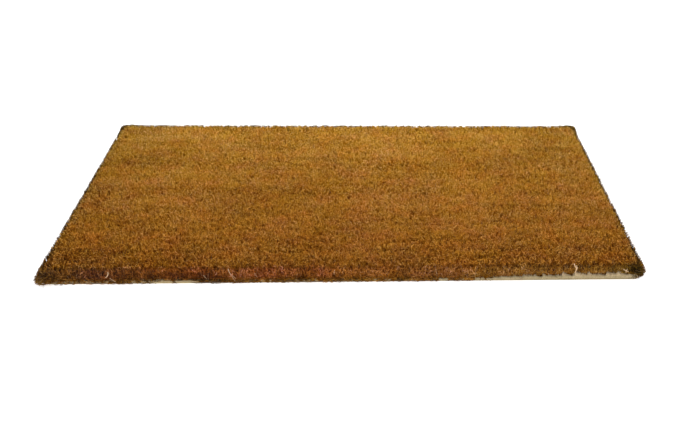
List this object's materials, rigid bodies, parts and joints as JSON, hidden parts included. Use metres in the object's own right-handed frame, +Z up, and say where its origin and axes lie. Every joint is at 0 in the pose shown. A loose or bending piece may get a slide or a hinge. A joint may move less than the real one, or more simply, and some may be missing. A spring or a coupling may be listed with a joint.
{
  "type": "door mat",
  "caption": "Rectangular door mat: rows of cut coir tufts, sheared level, planted in a flat vinyl backing with rounded corners.",
  "frame": {"origin": "on the flat underside of the vinyl backing, at the centre of the mat", "axes": "+X along the length of the mat and of its rows of tufts, +Y across its depth towards the back edge, +Z up out of the pile"},
  "size_m": [0.75, 0.45, 0.023],
  "materials": {
    "coir": "matt natural coconut fibre, golden brown with darker pits between the tufts",
    "vinyl": "soft cream-beige vinyl, matt, slightly uneven along the cut edge"
  },
  "bodies": {
    "root": {"vinyl_backing": "vinyl", "coir_row_01": "coir", "coir_row_02": "coir", "coir_row_03": "coir", "coir_row_04": "coir", "coir_row_05": "coir", "coir_row_06": "coir", "coir_row_07": "coir", "coir_row_08": "coir", "coir_row_09": "coir", "coir_row_10": "coir", "coir_row_11": "coir", "coir_row_12": "coir", "coir_row_13": "coir", "coir_row_14": "coir", "coir_row_15": "coir", "coir_row_16": "coir", "coir_row_17": "coir", "coir_row_18": "coir", "coir_row_19": "coir", "coir_row_20": "coir", "coir_row_21": "coir", "coir_row_22": "coir", "coir_row_23": "coir", "coir_row_24": "coir", "coir_row_25": "coir", "coir_row_26": "coir", "coir_row_27": "coir", "coir_row_28": "coir", "coir_row_29": "coir", "coir_row_30": "coir", "coir_row_31": "coir", "coir_row_32": "coir", "coir_row_33": "coir", "coir_row_34": "coir", "coir_row_35": "coir", "coir_row_36": "coir", "coir_row_37": "coir", "coir_row_38": "coir", "coir_row_39": "coir", "coir_row_40": "coir", "coir_row_41": "coir", "coir_row_42": "coir", "coir_row_43": "coir", "coir_row_44": "coir", "coir_row_45": "coir", "coir_row_46": "coir", "coir_row_47": "coir", "coir_row_48": "coir", "coir_row_49": "coir", "coir_row_50": "coir", "coir_row_51": "coir", "coir_row_52": "coir", "coir_row_53": "coir", "coir_row_54": "coir"}
  },
  "joints": []
}
